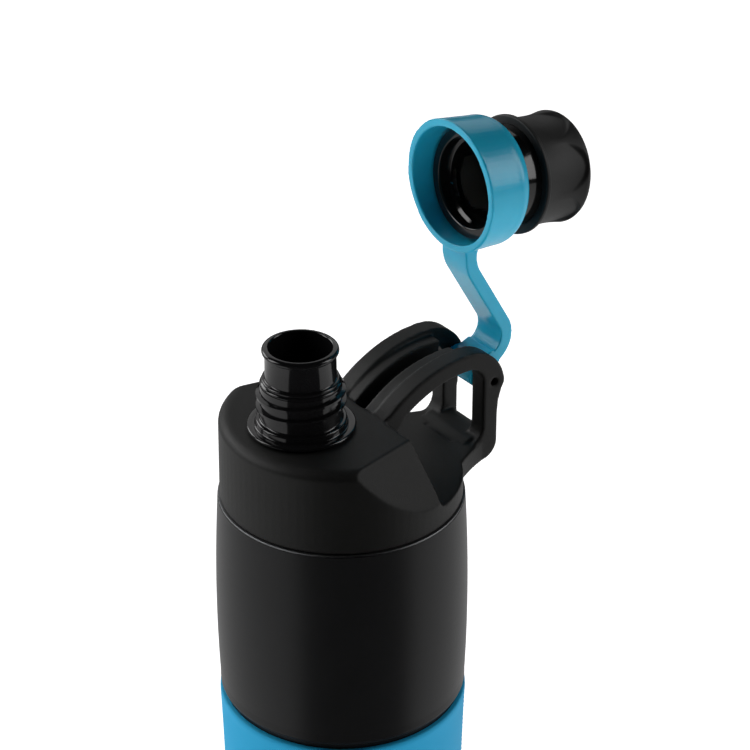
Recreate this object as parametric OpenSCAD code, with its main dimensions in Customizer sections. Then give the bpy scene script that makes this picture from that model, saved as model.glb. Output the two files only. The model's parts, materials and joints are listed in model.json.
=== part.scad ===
// Insulated sports bottle with a screw lid, a carrying loop and a tethered
// spout cap.  Millimetres, +Z up.  The origin is the middle of the footprint,
// and the handle lies along +X.

/* [Steel body] */
// Height from the table to the seam under the lid
body_h = 214; // [170:1:260]
// Radius of the body at the seam
seam_r = 36; // [34:0.1:44]
// How far the upper barrel swells past the seam radius
belly = 1.25; // [0.5:0.05:2]
// Drop from the seam to the widest ring of the barrel
belly_drop = 38; // [30:1:46]
// Thickness of the outer steel shell
shell_t = 0.8; // [0.5:0.1:1]
// Thickness of the inner steel bottle
liner_t = 0.8; // [0.5:0.1:1]
// Vacuum gap between the liner and the waist of the shell
vacuum_gap = 1.5; // [1:0.1:2.5]
// Height of the bare rim where liner and shell are welded
rim_t = 0.5; // [0.4:0.1:0.8]

/* [Grip sleeve] */
// Drop from the seam to the sleeve's upper edge
sleeve_drop = 66.5; // [55:0.5:80]
// Height of the sleeve's lower edge above the table
sleeve_foot = 26; // [20:1:32]
// Thickness of the sleeve
sleeve_t = 1.5; // [1:0.1:1.8]
// How far the sleeve draws in at its waist
waist = 1.05; // [0.4:0.05:1.3]

/* [Screw thread of the lid] */
// Radial wall from the seam radius in to the neck's bore
neck_in = 6; // [5:0.5:8]
// Rise of the lid in one turn
lid_pitch = 4; // [3.4:0.1:4.8]
// Height of both thread ridges
ridge_h = 1; // [0.8:0.1:1.1]
// Turns of thread on the lid plug
lid_turns = 1.75; // [1:0.25:2]

/* [Lid] */
// Height of the lid above the seam
lid_h = 26.2; // [24:0.1:32]
// How much smaller the lid is than the seam radius
lid_inset = 0.6; // [0.4:0.1:1]
// Wall of the lid
lid_wall = 2.4; // [2:0.1:2.8]
// Height of the finger passage's floor above the seam
floor_h = 6.4; // [5.8:0.1:8]
// Distance from the lid's axis to the passage wall at the top
passage_x = 6.2; // [5:0.1:8]

/* [Handle] */
// Width across both handle plates
handle_w = 25; // [22:0.5:30]
// Gap between the plates
slot_w = 13.2; // [11:0.1:15.5]
// Thickness of the loop, seen from the side
loop_t = 5.3; // [4.4:0.1:6.2]
// Height of the loop's crown above the lid
crown_h = 11.4; // [10:0.1:14]
// Distance from the seam radius out to the hinge pin
pin_out = 10.4; // [9:0.1:12.5]
// Radius of the hinge pin
pin_r = 1.25; // [1:0.05:1.5]

/* [Spout] */
// Distance from the lid's axis to the spout's axis
spout_off = 13.8; // [12:0.1:15]
// Radius of the drinking bore
spout_r = 9; // [8:0.1:9.6]
// Height of the spout's mouth above the lid
spout_h = 25.7; // [24:0.1:30]
// Wall of the smooth part of the spout
spout_wall = 1.15; // [1:0.05:1.4]
// Rise of the cap in one turn
cap_pitch = 3.7; // [3.2:0.1:4]

/* [Tether and cap] */
// Width of the tether arm
arm_w = 11.4; // [9:0.1:12]
// Thickness of the tether arm
arm_t = 4; // [3:0.1:4.4]
// Outer radius of the tether ring
ring_r = 19.6; // [18.8:0.1:20.4]
// Length of the tether ring
ring_l = 16.2; // [14:0.1:18]
// Height of the ring's middle above the hinge pin
ring_rise = 60.7; // [57:0.1:68]
// Length of the rubber grip on the cap
grip_l = 18; // [16:0.1:21]

/* [Hidden] */
$fn = 96;

// Fits
snug = 0.05;      // between pieces pressed or moulded together
loose = 0.3;      // between pieces that slide past each other
pin_fit = 0.06;   // radial, tether barrel on the pin
press_fit = 0.02; // radial, pin in the handle plates

// Body
belly_r = seam_r + belly;
barrel_bend = belly_drop * belly_drop / (2 * belly);
sleeve_top = body_h - sleeve_drop;
sleeve_mid = (sleeve_top + sleeve_foot) / 2;
sleeve_half = (sleeve_top - sleeve_foot) / 2;
sleeve_r = seam_r + 1.1;
waist_bend = sleeve_half * sleeve_half / (2 * waist);
foot_r = seam_r + 0.7;
shell_foot = 0.7;
pad_t = 1.2;
liner_r = sleeve_r - waist - sleeve_t - snug - shell_t - vacuum_gap;
liner_floor = 8;
neck_r = seam_r - neck_in;
neck_l = 22;
getter_x = 14;
getter_r = 5;
getter_t = 1.2;
seal_r = 3;
foil_t = 0.15;

// Lid
lid_r = seam_r - lid_inset;
lid_gap = 0.15;
top_r = lid_r - 0.2;
shoulder_w = 3.7;
shoulder_h = 2.2;
cavity_r = lid_r - lid_wall;
cavity_h = floor_h - lid_wall;
passage_lean = 3.8;
facet = [0.19, 0.853, 0.485];
facet_off = lid_r * 0.9847;
plug_disc = [1.4, cavity_h - 0.4];
plug_r = neck_r - ridge_h - 0.6;
plug_wall = 2;
plug_l = 16;
thread_top = -4;
crest_gap = 0.3;
ridge_foot = 1.7;
ridge_tip = 0.9;

// Handle outline, in the plane of symmetry
plate_in = slot_w / 2;
plate_out = handle_w / 2;
crown_z = lid_h + crown_h;
crown_x = seam_r;
crown_bend = 42;
corner_r = 13.8;
pin_x = seam_r + pin_out;
pin_z = crown_z - 12.1;
knuckle_r = 3.9;
pin_sink = 2.4;
outer_x = pin_x + 1.4;
heel_r = 5.6;
heel_z = lid_gap;
root_w = 5.7;     // how far the loop's root flares out along the lid's wall
heel_blend = 2.4; // how far inside the plates' outer faces the heel bar stops
ledge_drop = 1.6;
ledge_bend = 41;
ledge_x = crown_x - 2;
ledge_z = crown_z - ledge_drop - ledge_bend;
trough_depth = 4.6;
rib_gap = 2.3;

// Spout
spout_x = -spout_off;
mouth_z = lid_h + spout_h;
flange_r = 15.6;
flange_t = 1.4;
tube_r = spout_r + spout_wall;
step_drop = 9.4;
neck_wall = 2.7;
spout_root = spout_r + neck_wall;
rib_h = 1;
spout_crest = spout_root + rib_h + 0.1;
rib_foot = 1.5;
rib_tip = 0.7;
rib_start = 5.6;
spout_turns = 2.1;
cap_turns = 2;
spout_tail = 0.6;
socket_r = spout_root - 0.15;
oring_r = 0.6;
oring_z = 6;
oring_seat = 1.2;
oring_half = 0.7;

// Tether ring and cap: lengths along the cap's axis, from the ring's mouth
cap_lean = -6.5;
ring_x = pin_x - 8.1;
mouth_tilt = 5;   // of the ring's mouth, its top edge further out
mouth_over = 1.8; // reach of that top edge past the ring's own length
ring_taper = 0.7;
ring_z = pin_z + ring_rise;
ring_wall = 2.3;
lip_s = ring_l - 3;
cap_bore_r = spout_crest + 0.4;
cap_neck_r = cap_bore_r + 1.7;
lip_r = ring_r - ring_wall - 1;
mouth_s = 6.7;
lip_t = 2;
flange_s = ring_l + 5.4;
cap_flange_r = 17.4;
cap_flange_t = 1.6;
grip_r = 16.7;
cap_depth = spout_h + 0.2;
liner_disc = 1.6;
cap_end = flange_s + grip_l;
barrel_r = 4.4;

function arc(cx, cy, r, a, b, n = 12) =
    [for (i = [0:n]) let (t = a + (b - a) * i / n)
        [cx + r * cos(t), cy + r * sin(t)]];
function barrel_at(z) =
    belly_r - pow(z - (body_h - belly_drop), 2) / (2 * barrel_bend);
function sleeve_at(z) =
    sleeve_r - waist + pow(z - sleeve_mid, 2) / (2 * waist_bend);
function steps(a, b, n) = [for (i = [0:n]) a + (b - a) * i / n];
function flip(list) = [for (i = [len(list) - 1:-1:0]) list[i]];

// Moves its child from the lid's own height to the bottle's frame
module on_seam() {
    translate([0, 0, body_h]) children();
}

// Turns its child from the cap's axis to the place where the ring holds it
module on_ring() {
    translate([ring_x, 0, body_h + ring_z]) rotate([0, 90 - cap_lean, 0]) children();
}

// Draws an outline of the plane of symmetry, between two distances from it
module slab(from, to) {
    for (side = [0, 1])
        mirror([0, side, 0])
            translate([0, to, 0]) rotate([90, 0, 0]) linear_extrude(to - from) children();
}

// The same, right across the plane of symmetry
module bar(half) {
    rotate([90, 0, 0]) linear_extrude(2 * half, center = true) children();
}

// One thread ridge on a tube.  root and crest are radii, the widths are axial.
module ridge(root, crest, root_w, crest_w, pitch, turns, start) {
    n = 48;
    count = round(n * turns);
    bite = root < crest ? -0.3 : 0.3;
    section = [[root + bite, -root_w / 2], [crest, -crest_w / 2],
               [crest, crest_w / 2], [root + bite, root_w / 2]];
    points = [for (i = [0:count]) for (p = section) let (t = 360 * i / n)
        [p[0] * cos(t), p[0] * sin(t), start + pitch * i / n + p[1]]];
    sides = [for (i = [0:count - 1]) for (j = [0:3]) let (k = (j + 1) % 4)
        each [[4 * i + j, 4 * i + 4 + j, 4 * i + 4 + k],
              [4 * i + j, 4 * i + 4 + k, 4 * i + k]]];
    ends = [[0, 1, 2], [0, 2, 3],
            [4 * count + 2, 4 * count + 1, 4 * count],
            [4 * count + 3, 4 * count + 2, 4 * count]];
    faces = concat(sides, ends);
    turned = root > crest ? faces : [for (f = faces) [f[2], f[1], f[0]]];
    polyhedron(points, turned);
}

// ---- Steel body ----

shell_top = body_h - rim_t;
edge_z = sleeve_top + 0.7;
shell_skin = concat(
    [[foot_r - 4, shell_foot]],
    arc(foot_r - 3, shell_foot + 3, 3, -80, 0, 8),
    [[foot_r, sleeve_foot - 2]],
    arc(foot_r - 1.2, sleeve_foot - 1.9, 1.2, 0, 80, 5),
    [for (z = steps(sleeve_foot, sleeve_top, 24)) [sleeve_at(z) - sleeve_t - snug, z]],
    [[sleeve_at(sleeve_top) - sleeve_t - snug, edge_z]],
    arc(barrel_at(edge_z + 2) - 1.6, edge_z + 1.8, 1.7, -75, 0, 6),
    [for (z = steps(edge_z + 4, shell_top, 18)) [barrel_at(z), z]]);

module outer_shell() {
    color("#26262a")
        rotate_extrude()
            polygon(concat(shell_skin, flip([for (p = shell_skin) if (p[1] > shell_foot + 0.9)
                [p[0] - shell_t, p[1] >= shell_top ? shell_top : p[1]]]),
                [[foot_r - 4, shell_foot + 0.9]]));
}

liner_skin = concat(
    [[0, liner_floor], [liner_r - 6, liner_floor]],
    arc(liner_r - 6, liner_floor + 6, 6, -80, 0, 8),
    [[liner_r, body_h - neck_l - 10]],
    [[neck_r + liner_t, body_h - neck_l], [neck_r + liner_t, body_h - rim_t]]);

module inner_liner() {
    color("#b9bbbd") {
        rotate_extrude()
            polygon(concat(liner_skin,
                [[seam_r - 0.1, body_h - rim_t], [seam_r - 0.1, body_h - 0.05],
                 [seam_r - 0.15, body_h], [neck_r, body_h], [neck_r, body_h - neck_l],
                 [liner_r - liner_t, body_h - neck_l - 10]],
                flip(arc(liner_r - 6, liner_floor + 6, 6 - liner_t, -80, 0, 8)),
                [[liner_r - 6, liner_floor + liner_t], [0, liner_floor + liner_t]]));
        on_seam()
            rotate([0, 0, 180])
                ridge(neck_r, neck_r - ridge_h, ridge_foot, ridge_tip, lid_pitch, lid_turns,
                      thread_top - lid_turns * lid_pitch);
    }
}

module shell_base() {
    color("#b9bbbd")
        rotate_extrude()
            polygon([[0, shell_foot + 2.2], [foot_r - 12, shell_foot + 2.2],
                     [foot_r - 9, shell_foot + 0.95], [foot_r - 3.6, shell_foot + 0.95],
                     [foot_r - 3.6, shell_foot + 1.75], [foot_r - 8.6, shell_foot + 1.75],
                     [foot_r - 11.6, shell_foot + 3], [0, shell_foot + 3]]);
}

module getter() {
    color("#8d8f91")
        translate([getter_x, 0, shell_foot + 3]) cylinder(r = getter_r, h = getter_t);
}

module vacuum_seal() {
    color("#4a4c4f")
        translate([0, 0, pad_t + 0.1]) cylinder(r = seal_r, h = shell_foot + 2.2 - pad_t - 0.1);
}

module foil_wrap() {
    color("#b8733f")
        translate([0, 0, liner_floor + 12])
            difference() {
                cylinder(r = liner_r + snug + foil_t, h = body_h - neck_l - 28 - liner_floor);
                translate([0, 0, -1]) cylinder(r = liner_r + snug, h = body_h);
            }
}

module base_pad() {
    color("#1d1d1f")
        rotate_extrude()
            polygon([[0, 0], [foot_r - 5.6, 0], [foot_r - 5, 0.5], [foot_r - 5, pad_t],
                     [0, pad_t]]);
}

module grip_sleeve() {
    lip = 0.5;
    skin = [for (z = steps(sleeve_foot + 1, sleeve_top - 1.5, 24)) [sleeve_at(z), z]];
    color("#38b0dc")
        rotate_extrude()
            polygon(concat(
                [[sleeve_at(sleeve_foot) - sleeve_t, sleeve_foot],
                 [sleeve_at(sleeve_foot) - lip, sleeve_foot]],
                skin,
                [[sleeve_at(sleeve_top) - 0.15, sleeve_top - 0.7],
                 [sleeve_at(sleeve_top) - lip, sleeve_top],
                 [sleeve_at(sleeve_top) - sleeve_t, sleeve_top]],
                flip([for (z = steps(sleeve_foot, sleeve_top, 24))
                    [sleeve_at(z) - sleeve_t, z]])));
}

// ---- Lid ----

module lid_gasket() {
    color("#d9d9d6")
        on_seam() rotate_extrude()
            polygon([[plug_r + loose, 0.1], [neck_r + 2.2, 0.1],
                     [neck_r + 2.4, plug_disc[0] / 2],
                     [neck_r + 2.2, plug_disc[0] - 0.1], [plug_r + loose, plug_disc[0] - 0.1]]);
}

// The drum of the lid: skirt, rounded shoulder and flat top
module drum() {
    bend = (shoulder_w * shoulder_w + shoulder_h * shoulder_h) / (2 * shoulder_h);
    spread = asin(shoulder_w / bend);
    rotate_extrude()
        polygon(concat([[0, lid_gap], [lid_r - 0.3, lid_gap], [lid_r, lid_gap + 0.3]],
            arc(top_r - shoulder_w, lid_h - bend, bend, 90 - spread, 90, 14),
            [[0, lid_h]]));
}

// The space that fingers pass through, under the loop, right across the lid
module passage(inset = 0) {
    deep = floor_h - inset;
    foot = passage_x + passage_lean - inset;
    bar(seam_r + 4)
        polygon(concat([[passage_x - inset, lid_h + 1], [passage_x - inset, lid_h]],
            arc(foot + 3, deep + 3, 3, 170, 270, 14),
            [[seam_r + 20, deep], [seam_r + 20, lid_h + 1]]));
}

// The sloping facet that leads the fingers in, on each side
module facets(inset = 0) {
    lean = atan2(facet[2], norm([facet[0], facet[1]]));
    for (side = [0, 1])
        mirror([0, side, 0])
            rotate([0, 0, -atan2(facet[1], facet[0])])
                rotate([0, -lean, 0])
                    translate([facet_off / norm(facet) - inset, -60, -60]) cube([60, 120, 120]);
}

loop_outer = concat(
    flip(arc(crown_x, crown_z - crown_bend, crown_bend, 90, 131, 32)),
    flip(arc(crown_x + 0.5, crown_z - corner_r, corner_r, 9, 88, 28)),
    flip(arc(pin_x, pin_z, knuckle_r, -42, -4, 8)),
    [[outer_x + 0.2, pin_z - 7], [outer_x, pin_z - 11]],
    flip(arc(outer_x - heel_r, heel_z + heel_r, heel_r, -90, 0, 20)),
    [[seam_r - 6, heel_z], [seam_r - 6, floor_h]]);
loop_inner = concat(
    [[passage_x + passage_lean - 2.5, 16.5], [passage_x + passage_lean - 0.5, 17.4],
     [passage_x + 5.2, lid_h - 4.6]],
    flip(arc(crown_x, crown_z - crown_bend, crown_bend - loop_t, 90, 127, 28)),
    flip(arc(outer_x - loop_t - 5.8, crown_z - loop_t - 5.8, 5.8, 0, 80, 18)),
    flip(arc(outer_x - loop_t - 5.2, floor_h + 5.2, 5.2, -90, 0, 18)));

// One closed outline: the outside of the loop, then back along its inside
module loop_face() {
    polygon(concat([[passage_x - 0.4, lid_h - 1.4], [passage_x + 0.3, lid_h]],
        loop_outer, flip(loop_inner)));
}

// The two ledges that carry the closed tether arm, and the groove between them
module trough() {
    low = ledge_bend - trough_depth - 1.2;
    start = asin((lid_h - 5 - ledge_z) / ledge_bend);
    band = concat(
        arc(ledge_x, ledge_z, ledge_bend, 85, 180 - start, 28),
        flip(arc(ledge_x, ledge_z, low, 85, 186 - start, 28)));
    groove_floor = concat(
        arc(ledge_x, ledge_z, low + 1.2, 86, 185 - start, 28),
        flip(arc(ledge_x, ledge_z, low + 0.1, 86, 185 - start, 28)));
    slab(rib_gap, plate_in + 0.1) polygon(band);
    bar(rib_gap + 0.2) polygon(groove_floor);
}

// The loop's roots, which flare out in a curve where they leave the lid's wall
module roots() {
    root_x = outer_x - heel_r;
    wall_y = plate_out + root_w;
    wall_x = sqrt(lid_r * lid_r - wall_y * wall_y) - 0.6;
    curve = [for (t = steps(0, 1, 10))
        [wall_x + (root_x - wall_x) * t, wall_y - root_w * (1.35 * t - 0.35 * t * t)]];
    intersection() {
        for (side = [0, 1])
            mirror([0, side, 0])
                linear_extrude(floor_h + 6)
                    polygon(concat([[wall_x - 3, plate_in + 1], [wall_x - 3, wall_y]], curve,
                        [[root_x, plate_in + 1]]));
        bar(wall_y + 1) polygon(concat([[0, heel_z]],
            arc(outer_x - heel_r, heel_z + heel_r, heel_r, -90, 0, 20), [[outer_x, 20], [0, 20]]));
    }
}

// The rounded bar that joins the plates at the heel of the loop, and runs on into them
module heel_bar() {
    bar(plate_out - heel_blend)
        polygon(concat([[seam_r - 4, floor_h - 1.1], [seam_r - 4, heel_z + 0.4]],
            arc(outer_x - heel_r, heel_z + heel_r, heel_r - 0.4, -90, -20, 14),
            arc(outer_x - 3.6, floor_h - 1, 3.2, 0, 95, 14),
            [[seam_r + 3.4, floor_h + 1.1], [seam_r + 0.8, floor_h]]));
}

module lid_cavity() {
    under = lid_h - lid_wall;
    difference() {
        translate([0, 0, -1]) cylinder(r = cavity_r, h = under + 1);
        passage(lid_wall);
        facets(lid_wall);
    }
}

module lid_shell() {
    color("#242423")
        on_seam() difference() {
            union() {
                difference() {
                    union() {
                        drum();
                        roots();
                    }
                    passage();
                    facets();
                }
                slab(plate_in, plate_out) loop_face();
                trough();
                heel_bar();
            }
            lid_cavity();
            translate([spout_x, 0, 0]) cylinder(r = spout_root + snug, h = lid_h + 1);
            translate([pin_x, 0, pin_z]) rotate([90, 0, 0])
                cylinder(r = pin_r + press_fit, h = handle_w + 2, center = true);
        }
}

module lid_plug() {
    color("#2b2b2a")
        on_seam() difference() {
            union() {
                translate([0, 0, plug_disc[0]])
                    cylinder(r = cavity_r - snug, h = plug_disc[1] - plug_disc[0]);
                translate([0, 0, -plug_l]) cylinder(r = plug_r, h = plug_l + plug_disc[1]);
                translate([spout_x, 0, plug_disc[0]]) cylinder(r = socket_r + 2, h = 8);
                ridge(plug_r, neck_r - crest_gap, ridge_foot, ridge_tip, lid_pitch, lid_turns,
                      thread_top - lid_turns * lid_pitch);
            }
            translate([0, 0, -plug_l - 1]) cylinder(r = plug_r - plug_wall, h = plug_l + 1);
            translate([spout_x, 0, -2]) cylinder(r = socket_r + snug, h = 30);
        }
}

module spout() {
    step_z = mouth_z - step_drop;
    collar_z = lid_h + flange_t;
    color("#0e0e0f")
        on_seam() translate([spout_x, 0, 0]) {
            rotate_extrude()
                polygon(concat(
                    [[spout_r, spout_tail], [socket_r, spout_tail],
                     [socket_r, oring_z - oring_half],
                     [socket_r - oring_seat, oring_z - oring_half],
                     [socket_r - oring_seat, oring_z + oring_half],
                     [socket_r, oring_z + oring_half],
                     [socket_r, lid_h - lid_wall - 0.5], [spout_root, lid_h - lid_wall],
                     [spout_root, lid_h + snug], [flange_r - 0.5, lid_h + snug]],
                    arc(flange_r - 0.6, lid_h + flange_t - 0.7, 0.6, -30, 80, 6),
                    [[spout_root + 1.7, collar_z + 0.1], [spout_root + 1.4, collar_z + 0.5],
                     [spout_root + 1.3, collar_z + 1.4], [spout_root + 0.3, collar_z + 1.8],
                     [spout_root, collar_z + 2.4], [spout_root, step_z - 1.9]],
                    arc(tube_r + 1.0, step_z - 1.3, 0.45, -60, 60, 4),
                    arc(tube_r + 0.75, step_z - 0.3, 0.4, -60, 70, 4),
                    [[tube_r, step_z + 0.4], [tube_r, mouth_z - 2.3]],
                    arc(tube_r + 0.1, mouth_z - 1.1, 0.8, -60, 60, 6),
                    [[tube_r - 0.2, mouth_z - 0.1], [spout_r + 0.3, mouth_z],
                     [spout_r, mouth_z - 0.4]]));
            ridge(spout_root, spout_crest, rib_foot, rib_tip, cap_pitch, spout_turns,
                  lid_h + rib_start);
        }
}

module spout_oring() {
    color("#c8c8c4")
        on_seam() translate([spout_x, 0, oring_z])
            rotate_extrude()
                translate([socket_r - oring_seat + oring_r, 0]) circle(r = oring_r - 0.01);
}

// ---- Hinge and tether ----

module hinge_pin() {
    color("#8b8d90")
        on_seam() translate([pin_x, 0, pin_z]) rotate([90, 0, 0])
            cylinder(r = pin_r, h = handle_w - 2 * pin_sink, center = true);
}

bulge = [pin_x + 2.2, pin_z + 10.1];
bulge_r = 7.5;
sweep = [ring_x + 16.1, ring_z - 21.8];
sweep_r = 12;

// Side outline of the arm: out round the knuckle, back, and up to the ring
module arm_face() {
    polygon(concat(
        arc(bulge[0], bulge[1], bulge_r + arm_t / 2, -100, 30, 14),
        flip(arc(sweep[0], sweep[1], sweep_r - arm_t / 2, 178, 212, 8)),
        [[sweep[0] - sweep_r + 2.6, ring_z - ring_r + 2], [sweep[0] - sweep_r - 2.4, ring_z - ring_r + 2]],
        arc(sweep[0], sweep[1], sweep_r + arm_t / 2, 178, 212, 8),
        flip(arc(bulge[0], bulge[1], bulge_r - arm_t / 2, -100, 30, 14))));
}

module tether() {
    color("#34aacd")
        difference() {
            union() {
                on_seam() {
                    bar(arm_w / 2) arm_face();
                    translate([pin_x, 0, pin_z]) rotate([90, 0, 0])
                        cylinder(r = barrel_r, h = slot_w - 2 * loose, center = true);
                    bar(arm_w / 2)
                        polygon([[pin_x + 3.2, pin_z - 3], [pin_x + 7.4, pin_z + 1.8],
                                 [pin_x + 4.6, pin_z + 6], [pin_x, pin_z + 4.2]]);
                }
                on_ring() ring();
            }
            on_seam() translate([pin_x, 0, pin_z]) rotate([90, 0, 0])
                cylinder(r = pin_r + pin_fit, h = handle_w, center = true);
            on_ring() cylinder(r = ring_r - ring_wall, h = lip_s - 1.2);
        }
}

// The ring that holds the cap, its mouth cut off at a slant
module ring() {
    bore = ring_r - ring_wall;
    back = ring_r - ring_taper;
    difference() {
        rotate_extrude()
            polygon(concat([[bore, -mouth_over], [ring_r, -mouth_over],
                [back, ring_l - 6]],
                arc(back - 4.5, ring_l - 4.8, 4.5, 0, 70, 14),
                [[cap_neck_r + loose, ring_l], [cap_neck_r + loose, lip_s],
                 [bore - 0.6, lip_s], [bore, lip_s - 1.2]]));
        rotate([0, -mouth_tilt, 0]) translate([-40, -40, -40]) cube([80, 80, 40]);
    }
}

// ---- Cap ----

module cap_core() {
    bore_end = mouth_s + cap_depth;
    color("#121213")
        on_ring() {
            rotate_extrude()
                polygon([[cap_bore_r, mouth_s + 0.3], [cap_bore_r + 0.4, mouth_s],
                    [lip_r - 0.4, mouth_s], [lip_r, mouth_s + 0.4],
                    [lip_r, mouth_s + lip_t - 0.4], [cap_neck_r, mouth_s + lip_t + 0.2],
                    [cap_neck_r, flange_s + 2], [cap_neck_r - 0.8, flange_s + 2.4],
                    [cap_neck_r - 0.8, cap_end - 3], [0, cap_end - 3],
                    [0, bore_end], [spout_root, bore_end],
                    [spout_root, bore_end - 8], [cap_bore_r, bore_end - 9]]);
            translate([0, 0, mouth_s])
                ridge(cap_bore_r, cap_bore_r - rib_h, rib_foot, rib_tip, cap_pitch, cap_turns, 3);
        }
}

module cap_grip() {
    waist_s = flange_s + 9;
    color("#1f1f20")
        on_ring() difference() {
            rotate_extrude()
                polygon(concat(
                    [[cap_neck_r + snug, flange_s], [cap_flange_r - 0.4, flange_s],
                     [cap_flange_r, flange_s + 0.4],
                     [cap_flange_r, flange_s + cap_flange_t - 0.4],
                     [cap_flange_r - 0.4, flange_s + cap_flange_t]],
                    [for (s = steps(flange_s + cap_flange_t, cap_end - 2.4, 12))
                        [grip_r - 0.9 + 0.014 * pow(s - waist_s, 2), s]],
                    arc(grip_r - 2, cap_end - 2, 2, 5, 80, 6),
                    [[grip_r - 5, cap_end + 0.2], [0, cap_end + 0.5],
                     [0, cap_end - 3 + snug], [cap_neck_r - 0.8 + snug, cap_end - 3 + snug],
                     [cap_neck_r - 0.8 + snug, flange_s + 2.5], [cap_neck_r + snug, flange_s + 2.1]]));
            for (i = [0:5])
                rotate([0, 0, 60 * i + 8])
                    translate([grip_r + 10, 0, waist_s]) sphere(r = 12);
        }
}

module cap_liner() {
    color("#cfcfca")
        on_ring() translate([0, 0, mouth_s + cap_depth - liner_disc - snug])
            cylinder(r = spout_root - loose, h = liner_disc);
}

outer_shell();
inner_liner();
shell_base();
getter();
vacuum_seal();
foil_wrap();
base_pad();
grip_sleeve();
lid_gasket();
lid_shell();
lid_plug();
spout();
spout_oring();
hinge_pin();
tether();
cap_core();
cap_grip();
cap_liner();
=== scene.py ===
"""The looks of an insulated sports bottle with a screw lid, a finger loop and a tethered spout cap.

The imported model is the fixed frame. Every piece takes its place from it, and rides on one of its bodies.
Lengths in the outlines are millimetres, turned to metres as each piece is made.
"""

import json
import math

import bmesh
import bpy
from mathutils import Matrix, Vector


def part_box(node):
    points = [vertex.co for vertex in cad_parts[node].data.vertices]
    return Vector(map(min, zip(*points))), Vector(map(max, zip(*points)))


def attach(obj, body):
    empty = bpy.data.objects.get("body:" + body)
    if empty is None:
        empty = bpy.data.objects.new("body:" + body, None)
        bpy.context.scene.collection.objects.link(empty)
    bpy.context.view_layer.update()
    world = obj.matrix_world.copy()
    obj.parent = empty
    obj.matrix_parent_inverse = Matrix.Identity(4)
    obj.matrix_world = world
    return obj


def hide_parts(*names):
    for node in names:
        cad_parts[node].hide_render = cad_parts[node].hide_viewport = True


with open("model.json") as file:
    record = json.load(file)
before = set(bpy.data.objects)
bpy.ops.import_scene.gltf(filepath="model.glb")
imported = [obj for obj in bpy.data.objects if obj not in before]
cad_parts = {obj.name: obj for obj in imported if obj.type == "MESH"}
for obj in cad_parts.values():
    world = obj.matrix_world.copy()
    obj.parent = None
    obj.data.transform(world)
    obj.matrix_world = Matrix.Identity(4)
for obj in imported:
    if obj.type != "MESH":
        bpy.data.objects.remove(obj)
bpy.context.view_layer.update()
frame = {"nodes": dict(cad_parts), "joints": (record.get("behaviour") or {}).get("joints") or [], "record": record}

MM = 0.001
TURN = 2 * math.pi
AXIS = 1e-4  # radius that stands for the axis itself
WELD = 0.002  # points nearer than this are one point


# ---- The frame's own places ----

def joint(name):
    return next(j for j in frame["joints"] if j["name"] == name)


def mount(name):
    return next(m for m in frame["record"]["mounts"] if m["name"] == name)


def low(node):
    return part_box(node)[0] / MM


def high(node):
    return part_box(node)[1] / MM


seam_z = high("inner_liner").z
LID_HEIGHT = 26.2
SPOUT_PITCH = 3.7
lid_top = seam_z + LID_HEIGHT
cap_axis = Vector(joint("cap_spin")["axis"])
ring_at = Vector(joint("cap_spin")["pos_m"])
spout_at = Vector((mount("spout_bore")["pos_m"][0], 0, 0))
spout_bore = mount("spout_bore")["dims"]["r_mm"]
ON_AXIS = Matrix.Identity(4)
ON_SPOUT = Matrix.Translation(spout_at)
cap_turn = Vector((0, 0, 1)).rotation_difference(cap_axis).to_matrix().to_4x4()
ON_RING = Matrix.Translation(ring_at) @ cap_turn

# The cap, measured along its axis from the ring's mouth
CAP_MOUTH = 6.7
CAP_FLANGE = 21.6
CAP_LENGTH = 18
cap_end = CAP_FLANGE + CAP_LENGTH


# ---- Modelling by hand ----

def deselect():
    if bpy.context.object and bpy.context.object.mode != "OBJECT":
        bpy.ops.object.mode_set(mode="OBJECT")
    bpy.ops.object.select_all(action="DESELECT")


def pick(piece):
    deselect()
    piece.select_set(True)
    bpy.context.view_layer.objects.active = piece


def start(name):
    """Names the primitive that was just added, and goes into edit mode with all of it selected."""
    piece = bpy.context.object
    piece.name = name
    piece.data.name = name
    bpy.ops.object.transform_apply(location=True, rotation=True, scale=True)
    bpy.ops.object.mode_set(mode="EDIT")
    bpy.ops.mesh.select_all(action="SELECT")
    return piece


def settle(piece, place=ON_AXIS, angle=40):
    """Leaves edit mode, puts the mesh at its place and shades it smooth up to an angle."""
    pick(piece)
    piece.matrix_world = place
    bpy.ops.object.transform_apply(location=True, rotation=True, scale=True)
    bpy.ops.object.shade_smooth_by_angle(angle=math.radians(angle))


def finish_with(piece, kind, **settings):
    """Adds one modifier, sets it and applies it."""
    pick(piece)
    modifier = piece.modifiers.new(kind.title(), kind)
    for key, value in settings.items():
        setattr(modifier, key, value)
    bpy.ops.object.modifier_apply(modifier=modifier.name)


def bend(centre, radius, first, last, steps):
    """Points of a round stretch of an outline: (radius from the axis, height)."""
    angles = [math.radians(first + (last - first) * i / steps) for i in range(steps + 1)]
    return [(centre[0] + radius * math.cos(a), centre[1] + radius * math.sin(a)) for a in angles]


def lathe(name, outline, segments=160):
    """Turns a closed outline as on a lathe: a circle is extruded and scaled from ring to ring."""
    deselect()
    r, z = outline[0]
    bpy.ops.mesh.primitive_circle_add(vertices=segments, radius=r * MM, location=(0, 0, z * MM))
    piece = start(name)
    for next_r, next_z in outline[1:] + outline[:1]:
        next_r = max(next_r, AXIS)
        scale = next_r / r
        bpy.ops.mesh.extrude_region_move(TRANSFORM_OT_translate={"value": (0, 0, (next_z - z) * MM)})
        bpy.ops.transform.resize(value=(scale, scale, 1), center_override=(0, 0, next_z * MM))
        r, z = next_r, next_z
    bpy.ops.mesh.select_all(action="SELECT")
    bpy.ops.mesh.remove_doubles(threshold=WELD * MM)
    bpy.ops.mesh.normals_make_consistent(inside=False)
    return piece


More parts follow.
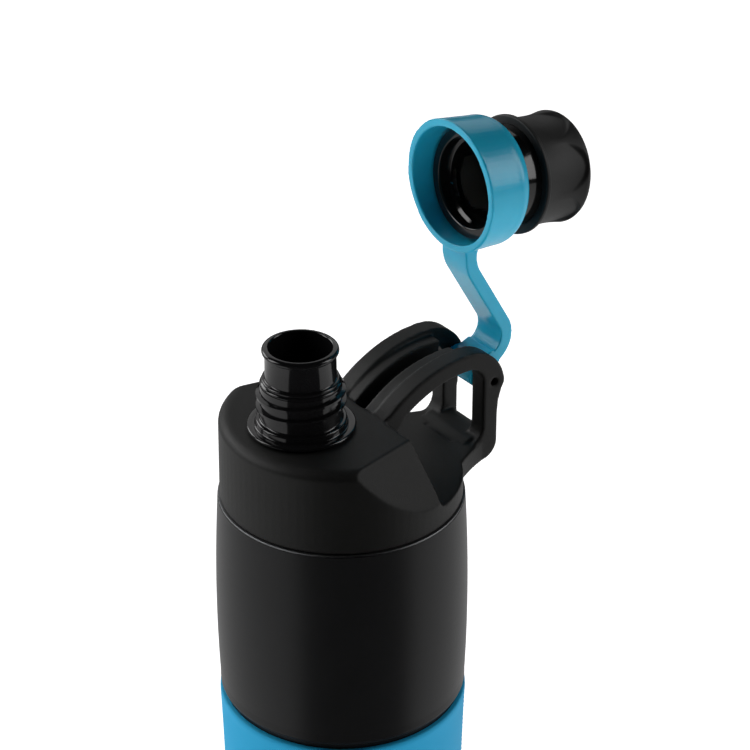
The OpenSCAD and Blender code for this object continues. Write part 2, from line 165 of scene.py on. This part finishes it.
def copy_of(node, name):
    """A merged copy of a CAD node, to be finished by hand."""
    deselect()
    piece = bpy.data.objects.new(name, frame["nodes"][node].data.copy())
    bpy.context.scene.collection.objects.link(piece)
    piece.data.name = name
    piece.data.materials.clear()
    pick(piece)
    bpy.ops.object.mode_set(mode="EDIT")
    bpy.ops.mesh.select_all(action="SELECT")
    bpy.ops.mesh.customdata_custom_splitnormals_clear()
    bpy.ops.mesh.remove_doubles(threshold=WELD * MM)
    deselect()
    return piece


def soften(piece, voxel, rounds, keep=1.0):
    """Rounds all the edges of a moulding: a fine even skin, eased a few times."""
    finish_with(piece, "REMESH", mode="VOXEL", voxel_size=voxel * MM, use_smooth_shade=True)
    finish_with(piece, "SMOOTH", factor=0.5, iterations=rounds)
    if keep < 1:
        finish_with(piece, "DECIMATE", ratio=keep)


# ---- Materials ----

def linear(code):
    """An sRGB hex colour as the linear colour that a shader takes."""
    parts = [int(code[i:i + 2], 16) / 255 for i in (1, 3, 5)]
    return tuple(c / 12.92 if c <= 0.04045 else ((c + 0.055) / 1.055) ** 2.4 for c in parts) + (1,)


def add(tree, kind, links=None, **settings):
    """Adds a node: settings name its properties or inputs, and links name the sockets that feed it."""
    node = tree.nodes.new("ShaderNode" + kind)
    for key, value in settings.items():
        if hasattr(node, key):
            setattr(node, key, value)
        else:
            node.inputs[key.replace("_", " ")].default_value = value
    for key, socket in (links or {}).items():
        tree.links.new(socket, node.inputs[key])
    return node


def material(name, colour, roughness, **inputs):
    """Makes a material: returns it with its tree, its shader and Object coordinates."""
    made = bpy.data.materials.new(name)
    made.use_nodes = True
    tree = made.node_tree
    shader = tree.nodes["Principled BSDF"]
    shader.inputs["Base Color"].default_value = linear(colour)
    shader.inputs["Roughness"].default_value = roughness
    for key, value in inputs.items():
        shader.inputs[key.replace("_", " ")].default_value = value
    place = add(tree, "TexCoord").outputs["Object"]
    return made, tree, shader, place


def grain(tree, place, size, detail=2.0, roughness=0.5):
    """Noise whose grains are about size millimetres across."""
    return add(tree, "TexNoise", {"Vector": place}, Scale=1 / (size * MM), Detail=detail,
               Roughness=roughness)


def bump(tree, shader, height, depth, strength=1.0, under=None):
    """Raises the surface by up to depth millimetres where height is 1."""
    links = {"Height": height}
    if under:
        links["Normal"] = under
    node = add(tree, "Bump", links, Strength=strength, Distance=depth * MM)
    tree.links.new(node.outputs["Normal"], shader.inputs["Normal"])
    return node.outputs["Normal"]


# The colour sockets of a Mix node
MIX_DARK, MIX_LIGHT, MIX_RESULT = 6, 7, 2


def vary(tree, shader, key, factor, dark, light):
    """Lets a noise move a colour or a roughness between two values."""
    if isinstance(dark, str):
        mixer = add(tree, "Mix", {"Factor": factor}, data_type="RGBA")
        mixer.inputs[MIX_DARK].default_value = linear(dark)
        mixer.inputs[MIX_LIGHT].default_value = linear(light)
        tree.links.new(mixer.outputs[MIX_RESULT], shader.inputs[key])
    else:
        ranger = add(tree, "MapRange", {"Value": factor}, To_Min=dark, To_Max=light)
        tree.links.new(ranger.outputs["Result"], shader.inputs[key])


def powder_coat():
    """Satin polyester powder coat on steel: dead black, with a faint orange peel in its gloss."""
    made, tree, shader, place = material("satin_powder_coat", "#131314", 0.38, Specular_IOR_Level=0.28)
    fine = grain(tree, place, 0.5)
    broad = grain(tree, place, 14)
    vary(tree, shader, "Base Color", broad.outputs["Fac"], "#121213", "#161617")
    vary(tree, shader, "Roughness", fine.outputs["Fac"], 0.33, 0.41)
    bump(tree, shader, fine.outputs["Fac"], 0.012)
    return made


def brushed_steel():
    """Stainless steel, turned and brushed round the axis: fine rings that stretch the highlight."""
    made, tree, shader, place = material("brushed_stainless_steel", "#8b8c8e", 0.42, Metallic=1.0)
    flat = add(tree, "Mapping", {"Vector": place}, vector_type="TEXTURE")
    flat.inputs["Scale"].default_value = (8, 8, 0.25)
    rings = grain(tree, flat.outputs["Vector"], 1.2, 3)
    vary(tree, shader, "Roughness", rings.outputs["Fac"], 0.36, 0.52)
    bump(tree, shader, rings.outputs["Fac"], 0.006)
    return made


def spark_plastic(name, colour, light):
    """Polypropylene from a spark-eroded mould: a fine even texture that scatters the light."""
    made, tree, shader, place = material(name, colour, 0.5, IOR=1.49, Specular_IOR_Level=0.36)
    fine = grain(tree, place, 0.35, 3)
    broad = grain(tree, place, 9)
    vary(tree, shader, "Base Color", broad.outputs["Fac"], colour, light)
    vary(tree, shader, "Roughness", fine.outputs["Fac"], 0.46, 0.6)
    bump(tree, shader, fine.outputs["Fac"], 0.045)
    return made


def polished_plastic(name, colour, light):
    """Polished black copolyester: a wet-looking gloss with the slight waves of a moulded wall."""
    made, tree, shader, place = material(name, colour, 0.1, IOR=1.5)
    waves = grain(tree, place, 7)
    scuffs = grain(tree, place, 1.1, 4)
    vary(tree, shader, "Base Color", scuffs.outputs["Fac"], colour, light)
    vary(tree, shader, "Roughness", scuffs.outputs["Fac"], 0.08, 0.15)
    bump(tree, shader, waves.outputs["Fac"], 0.02)
    return made


def sleeve_silicone():
    """Moulded silicone rubber: matte blue, slightly chalky where hands have rubbed it."""
    made, tree, shader, place = material("blue_moulded_silicone", "#2ca3d2", 0.62, IOR=1.41,
                                         Specular_IOR_Level=0.22)
    fine = grain(tree, place, 0.25, 3)
    broad = grain(tree, place, 11)
    vary(tree, shader, "Base Color", broad.outputs["Fac"], "#21a6d8", "#26abdc")
    vary(tree, shader, "Roughness", fine.outputs["Fac"], 0.54, 0.68)
    bump(tree, shader, fine.outputs["Fac"], 0.02)
    return made


def tether_plastic():
    """Flexible polypropylene: a blue that glows a little in depth, with a soft moulded gloss."""
    made, tree, shader, place = material("blue_polypropylene", "#28b6db", 0.24, IOR=1.49,
                                         Subsurface_Weight=0.12, Subsurface_Scale=0.0015)
    flow = grain(tree, place, 6)
    fine = grain(tree, place, 0.5, 3)
    vary(tree, shader, "Base Color", flow.outputs["Fac"], "#24b2d8", "#2dbbdf")
    vary(tree, shader, "Roughness", fine.outputs["Fac"], 0.19, 0.3)
    under = bump(tree, shader, flow.outputs["Fac"], 0.05)
    bump(tree, shader, fine.outputs["Fac"], 0.006, under=under)
    return made


def grip_rubber():
    """Overmoulded thermoplastic rubber: soft matte black that shows a broad, dull highlight."""
    made, tree, shader, place = material("black_overmoulded_rubber", "#151515", 0.55, IOR=1.5)
    fine = grain(tree, place, 0.3, 3)
    vary(tree, shader, "Base Color", fine.outputs["Fac"], "#121212", "#191919")
    vary(tree, shader, "Roughness", fine.outputs["Fac"], 0.48, 0.62)
    bump(tree, shader, fine.outputs["Fac"], 0.025)
    return made


def seal_silicone():
    """Clear-cured silicone rubber: milky white and slightly tacky to the eye."""
    made, tree, shader, place = material("milky_silicone", "#d8d8d2", 0.4, IOR=1.41,
                                         Subsurface_Weight=0.3, Subsurface_Scale=0.002)
    fine = grain(tree, place, 0.6, 2)
    vary(tree, shader, "Roughness", fine.outputs["Fac"], 0.34, 0.5)
    bump(tree, shader, fine.outputs["Fac"], 0.01)
    return made


def copper_foil():
    """Rolled copper foil: bright, with the creases it takes when it is wrapped."""
    made, tree, shader, place = material("wrapped_copper_foil", "#c98a63", 0.25, Metallic=1.0)
    creases = grain(tree, place, 5, 4, 0.7)
    vary(tree, shader, "Roughness", creases.outputs["Fac"], 0.18, 0.36)
    bump(tree, shader, creases.outputs["Fac"], 0.15)
    return made


def sintered_metal():
    """Pressed zirconium powder: dull grey with open pores."""
    made, tree, shader, place = material("sintered_getter_metal", "#77797b", 0.65, Metallic=1.0)
    pores = grain(tree, place, 0.3, 4)
    vary(tree, shader, "Roughness", pores.outputs["Fac"], 0.5, 0.8)
    bump(tree, shader, pores.outputs["Fac"], 0.04)
    return made


def seal_glass():
    """Fused solder glass: dark and glossy with a slight ripple."""
    made, tree, shader, place = material("fused_seal_glass", "#3a3c3f", 0.1, IOR=1.6)
    ripple = grain(tree, place, 1.5)
    vary(tree, shader, "Roughness", ripple.outputs["Fac"], 0.06, 0.16)
    bump(tree, shader, ripple.outputs["Fac"], 0.05)
    return made


coat = powder_coat()
steel = brushed_steel()
lid_plastic = spark_plastic("black_spark_textured_polypropylene", "#10100f", "#141413")
plug_plastic = spark_plastic("black_inner_polypropylene", "#1c1c1b", "#212120")
spout_plastic = polished_plastic("polished_black_copolyester", "#131314", "#171718")
cap_plastic = polished_plastic("polished_black_polypropylene", "#0e0e0e", "#121212")
silicone = sleeve_silicone()
blue_plastic = tether_plastic()
rubber = grip_rubber()
seal = seal_silicone()
foil = copper_foil()
getter_metal = sintered_metal()
glass = seal_glass()


def give(piece, made, body=None, stands_for=()):
    """Gives a piece its material, and a new piece its body and the nodes it stands for."""
    piece.data.materials.clear()
    piece.data.materials.append(made)
    if body:
        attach(piece, body)
        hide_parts(*stands_for)


# ---- Floor, lights and camera ----

camera_at = Vector((-0.3952, -0.5485, 0.6380))
to_camera = math.atan2(camera_at.y, camera_at.x)
LIT_POINT = Vector((0, 0, 0.22))


def around(side, distance, height):
    """A place round the bottle: side is the degrees from the camera's side, to the right if above 0."""
    turn = math.radians(side) + to_camera
    return Vector((distance * math.cos(turn), distance * math.sin(turn), height))


def camera():
    eye = bpy.data.cameras.new("camera")
    eye.lens = 131.7
    eye.sensor_width = 36
    eye.clip_start = 0.01
    holder = bpy.data.objects.new("camera", eye)
    bpy.context.scene.collection.objects.link(holder)
    holder.location = camera_at
    holder.rotation_euler = (math.radians(60.27), 0, math.radians(-36.6))
    bpy.context.scene.camera = holder


def floor():
    """A lit white sweep: it fills the background and lights the bottle from below."""
    deselect()
    bpy.ops.mesh.primitive_plane_add(size=16, location=(0, 0, 0))
    plane = bpy.context.object
    plane.name = "studio_floor"
    made, tree, shader, place = material("lit_white_acrylic_sweep", "#e8e8e8", 0.9, Emission_Strength=0.9)
    shader.inputs["Emission Color"].default_value = (1, 1, 1, 1)
    cloud = grain(tree, place, 300)
    vary(tree, shader, "Base Color", cloud.outputs["Fac"], "#e6e6e6", "#eaeaea")
    plane.data.materials.append(made)
    plane.visible_glossy = False


def reflection_card():
    """What the gloss sees of the table: lit at both sides and behind, and dark in front."""
    near, far = 0.12, 2.5
    first, last = math.radians(60), math.radians(322)

    def is_dark(face):
        middle = face.calc_center_median()
        return not first < (math.atan2(middle.y, middle.x) - to_camera) % TURN < last

    deselect()
    bpy.ops.mesh.primitive_circle_add(vertices=128, radius=near)
    card = start("reflection_card")
    bpy.ops.mesh.extrude_region_move()
    bpy.ops.transform.resize(value=(far / near, far / near, 1))
    deselect()
    shape = bmesh.new()
    shape.from_mesh(card.data)
    bmesh.ops.delete(shape, geom=[face for face in shape.faces if is_dark(face)], context="FACES")
    shape.to_mesh(card.data)
    shape.free()
    made, _, shader, _ = material("lit_table_edge", "#000000", 1.0, Emission_Strength=0.62)
    shader.inputs["Emission Color"].default_value = (1, 1, 1, 1)
    card.data.materials.append(made)
    card.location.z = 0.002
    card.visible_camera = False
    card.visible_diffuse = False
    card.visible_shadow = False


def softbox(name, at, size, power):
    """A rectangular lamp that faces the bottle's middle."""
    lamp = bpy.data.lights.new(name, "AREA")
    lamp.shape = "RECTANGLE"
    lamp.size, lamp.size_y = size
    lamp.energy = power
    box = bpy.data.objects.new(name, lamp)
    bpy.context.scene.collection.objects.link(box)
    box.location = at
    box.rotation_euler = (LIT_POINT - at).to_track_quat("-Z", "Y").to_euler()
    box.visible_camera = False


def studio():
    world = bpy.data.worlds.new("studio")
    bpy.context.scene.world = world
    world.use_nodes = True
    back = world.node_tree.nodes["Background"]
    back.inputs["Color"].default_value = (1, 1, 1, 1)
    back.inputs["Strength"].default_value = 1
    world.cycles_visibility.glossy = False
    world.cycles_visibility.diffuse = False
    bpy.context.scene.view_settings.view_transform = "Standard"
    softbox("left_softbox", around(-92, 0.75, 0.62), size=(0.3, 0.7), power=2.4)
    softbox("right_softbox", around(90, 0.75, 0.62), size=(0.3, 0.7), power=1.9)
    softbox("back_softbox", around(232, 0.9, 0.62), size=(0.45, 0.4), power=2.4)
    softbox("rear_softbox", around(188, 0.9, 0.76), size=(1.2, 0.6), power=1.5)


# ---- Pieces ----

def grip_sleeve():
    """The silicone sleeve: a waisted tube whose skin is moulded in small diamond studs."""
    set_back = 0.7  # its upper edge ends this far below the CAD's
    foot, top = low("grip_sleeve").z, high("grip_sleeve").z - set_back
    outer = high("grip_sleeve").x
    waist, thickness, stud, relief = 1.05, 1.5, 0.8, 0.13
    plain, edge, inner_rings = 0.8, 0.5, 24
    middle, half = (top + foot) / 2, (top - foot) / 2

    def skin(z):
        return outer - waist + waist * ((z - middle) / half) ** 2

    rows = int((top - foot - 2 * plain) / stud)
    outline = [(skin(foot) - thickness, foot), (skin(foot) - edge, foot)]
    outline += [(skin(z), z) for z in (foot + plain + i * stud for i in range(rows + 1))]
    outline += [(skin(top) - 0.15, top - 0.35), (skin(top) - edge, top), (skin(top) - thickness, top)]
    down = [top - 2 * half * i / inner_rings for i in range(1, inner_rings)]
    outline += [(skin(z) - thickness, z) for z in down]
    segments = 2 * round(math.pi * outer / stud)
    piece = lathe("silicone_sleeve", outline, segments)
    deselect()
    for vertex in piece.data.vertices:
        at = vertex.co / MM
        flat = math.hypot(at.x, at.y)
        row = round((at.z - foot - plain) / stud)
        column = round(math.atan2(at.y, at.x) / TURN * segments)
        on_skin = flat > skin(at.z) - 0.05
        if on_skin and 2 < row < rows - 1 and (row + column) % 2:
            vertex.co.x *= 1 - relief / flat
            vertex.co.y *= 1 - relief / flat
    settle(piece, angle=60)
    give(piece, silicone, "bottle", ["grip_sleeve"])


def lid_moulding():
    """The lid with its loop, in one moulding: every edge is rounded as a mould leaves it."""
    piece = copy_of("lid_shell", "lid_moulding")
    soften(piece, 0.42, 3, 0.5)
    settle(piece, angle=35)
    give(piece, lid_plastic, "lid", ["lid_shell"])


def thread(name, root, crest, root_width, crest_width, pitch, turns, first):
    """One thread ridge: a section is swept up a helix, and both its ends fade into the wall."""
    bite, fade = 0.3, 0.12
    base = root + bite if root > crest else root - bite
    steps = round(96 * turns)
    deselect()
    bpy.ops.mesh.primitive_plane_add(size=1)
    piece = start(name)
    bpy.ops.mesh.delete(type="ONLY_FACE")
    deselect()
    section = [(base, -root_width / 2), (crest, -crest_width / 2),
               (base, root_width / 2), (crest, crest_width / 2)]
    for vertex, (r, z) in zip(piece.data.vertices, section):
        vertex.co = Vector((r, 0, first + z)) * MM
    finish_with(piece, "SCREW", axis="Z", angle=TURN * turns, screw_offset=pitch * turns * MM,
                steps=steps, render_steps=steps, use_normal_calculate=True)
    for vertex in piece.data.vertices:
        along = (vertex.co.z / MM - first) / pitch
        share = min(1, max(0, along / fade), max(0, (turns - along) / fade))
        flat = math.hypot(vertex.co.x, vertex.co.y) / MM
        scale = (base + (flat - base) * share) / flat
        vertex.co.x *= scale
        vertex.co.y *= scale
    pick(piece)
    bpy.ops.object.mode_set(mode="EDIT")
    bpy.ops.mesh.select_all(action="SELECT")
    bpy.ops.mesh.fill_holes(sides=0)
    bpy.ops.mesh.normals_make_consistent(inside=False)
    deselect()
    return piece


def join(piece, other):
    """Makes the other mesh part of the piece."""
    pick(piece)
    other.select_set(True)
    bpy.ops.object.join()


def spout():
    """The drinking spout: a flange, a threaded neck, a double step and a tube with a rim bead."""
    tube, root, crest = spout_bore + 1.15, spout_bore + 2.7, spout_bore + 3.8
    shank, flange, bead = root - 0.15, 15.6, 0.82
    tail, mouth = low("spout").z, high("spout").z
    seat, collar, step = lid_top + 0.05, lid_top + 1.4, mouth - 9.4
    outline = [(spout_bore, tail), (shank, tail), (shank, lid_top - 2.8), (root, lid_top - 2.4)]
    outline += [(root, seat), (flange - 0.5, seat)]
    outline += bend((flange - 0.6, collar - 0.6), 0.6, -30, 80, 6)
    outline += [(root + 1.9, collar + 0.02)]
    outline += bend((root + 1.9, collar + 0.5), 0.5, 265, 185, 5)
    outline += [(root + 1.3, collar + 1.3)]
    outline += bend((root + 0.7, collar + 1.3), 0.6, 10, 80, 5)
    outline += bend((root + 0.6, collar + 2.5), 0.6, 260, 185, 4)
    outline += [(root, step - 2.0)]
    outline += bend((tube + 0.85, step - 1.75), 0.55, -40, 62, 6)
    outline += [(tube + 0.85, step - 1.1)]
    outline += bend((tube + 0.45, step - 0.7), 0.5, -35, 75, 6)
    outline += bend((tube + 0.45, step + 0.25), 0.45, 255, 185, 4)
    outline += [(tube, mouth - 2.2)]
    outline += bend((tube + 0.3, mouth - 2.2), 0.3, 180, 110, 3)
    outline += bend((tube - 0.02, mouth - 1.05), bead, -62, 70, 9)
    outline += bend((spout_bore + 0.55, mouth - 0.55), 0.55, 95, 180, 6)
    piece = lathe("drinking_spout", outline, 192)
    settle(piece)
    helix = thread("spout_thread", root, crest, root_width=1.6, crest_width=0.7, pitch=SPOUT_PITCH,
                   turns=2.1, first=lid_top + 5.6)
    join(piece, helix)
    settle(piece, ON_SPOUT, 35)
    give(piece, spout_plastic, "lid", ["spout"])


def tether():
    """The tether: hinge barrel, curved arm and ring in one moulding with soft edges."""
    piece = copy_of("tether", "cap_tether")
    soften(piece, 0.33, 3)
    settle(piece, angle=60)
    give(piece, blue_plastic, "tether", ["tether"])


def cap_core():
    """The threaded cap: a lip that the ring holds, a glossy neck and a deep bore with its thread."""
    neck, bore, lip, tip = 14.9, 13.2, 16.3, spout_bore + 2.7
    hub = neck - 0.8
    edge, fillet = 0.5, 0.4
    top, hub_end = CAP_MOUTH + 25.9, cap_end - 3
    outline = bend((bore + edge, CAP_MOUTH + edge), edge, 180, 270, 5)
    outline += bend((lip - edge, CAP_MOUTH + edge), edge, 270, 360, 5)
    outline += bend((lip - edge, CAP_MOUTH + 1.5), edge, 0, 80, 5)
    outline += bend((neck + fillet, CAP_MOUTH + 2.5), fillet, 265, 185, 4)
    outline += [(neck, CAP_FLANGE + 2), (hub, CAP_FLANGE + 2.4), (hub, hub_end)]
    outline += [(0, hub_end), (0, top), (tip - edge, top)]
    outline += bend((tip - edge, top - edge), edge, 90, 0, 4)
    outline += [(tip, top - 8), (bore, top - 9)]
    piece = lathe("cap_core_moulding", outline)
    settle(piece)
    helix = thread("cap_thread", bore, bore - 1.0, root_width=1.5, crest_width=0.7, pitch=SPOUT_PITCH,
                   turns=2.0, first=CAP_MOUTH + 3)
    join(piece, helix)
    settle(piece, ON_RING, 35)
    give(piece, cap_plastic, "cap", ["cap_core"])


def cap_grip():
    """The rubber grip: a thin flange, a waisted barrel and thumb scoops that stop short of the rim."""
    flange, grip, neck = 17.4, 16.7, 14.95
    hub, hub_end = neck - 0.8, cap_end - 2.95
    edge, shoulder, rows = 0.5, 1.9, 44
    waist_at, waist_curve = CAP_FLANGE + 9, 0.0135
    scoops, scoop_depth, scoop_foot = 6, 1.0, CAP_FLANGE + 2.5
    scoop_half, scoop_start = math.radians(27), math.radians(8)

    def barrel(s):
        return grip - 0.95 + waist_curve * (s - waist_at) ** 2

    outline = bend((flange - edge, CAP_FLANGE + edge), edge, 270, 360, 5)
    outline += bend((flange - edge, CAP_FLANGE + 1.1), edge, 0, 80, 5)
    first, last = CAP_FLANGE + 2.2, cap_end - shoulder
    outline += bend((barrel(first) + edge, CAP_FLANGE + 2.1), edge, 260, 185, 4)
    along = [first + (last - first) * i / rows for i in range(1, rows + 1)]
    outline += [(barrel(s), s) for s in along]
    outline += bend((barrel(last) - shoulder, last), shoulder, 8, 84, 9)
    outline += [(grip - 6, cap_end + 0.25), (grip - 10, cap_end + 0.4), (4, cap_end + 0.48)]
    outline += [(0, cap_end + 0.5), (0, hub_end), (hub, hub_end)]
    outline += [(hub, CAP_FLANGE + 2.5), (neck, CAP_FLANGE + 2.1), (neck, CAP_FLANGE)]
    piece = lathe("cap_grip_moulding", outline, 240)
    deselect()
    for vertex in piece.data.vertices:
        at = vertex.co / MM
        flat = math.hypot(at.x, at.y)
        if not scoop_foot < at.z < cap_end + 0.1 or flat < neck + 0.2:
            continue
        turn = math.atan2(at.y, at.x) - scoop_start
        off = (turn + math.pi / scoops) % (TURN / scoops) - math.pi / scoops
        out = (off / scoop_half) ** 2
        rim = cap_end - 1.6 - 5.5 * out
        ramp = min(1, max(0, (at.z - scoop_foot) / (rim - scoop_foot)))
        stop = min(1, max(0, (rim + 0.8 - at.z) / 1.3))
        sink = scoop_depth * max(0, 1 - out) * ramp ** 1.4 * stop * stop * (3 - 2 * stop)
        vertex.co.x *= 1 - sink / flat
        vertex.co.y *= 1 - sink / flat
    settle(piece, ON_RING, 50)
    give(piece, rubber, "cap", ["cap_grip"])


def cad_pieces():
    """The pieces that keep the CAD's mesh, with what each one is made of."""
    made_of = {
        "outer_shell": coat, "inner_liner": steel, "shell_base": steel, "getter": getter_metal,
        "vacuum_seal": glass, "foil_wrap": foil, "base_pad": rubber, "lid_gasket": seal,
        "lid_plug": plug_plastic, "spout_oring": seal, "hinge_pin": steel, "cap_liner": seal,
    }
    for node, made in made_of.items():
        give(frame["nodes"][node], made)


camera()
studio()
floor()
reflection_card()
cad_pieces()
grip_sleeve()
lid_moulding()
spout()
tether()
cap_core()
cap_grip()
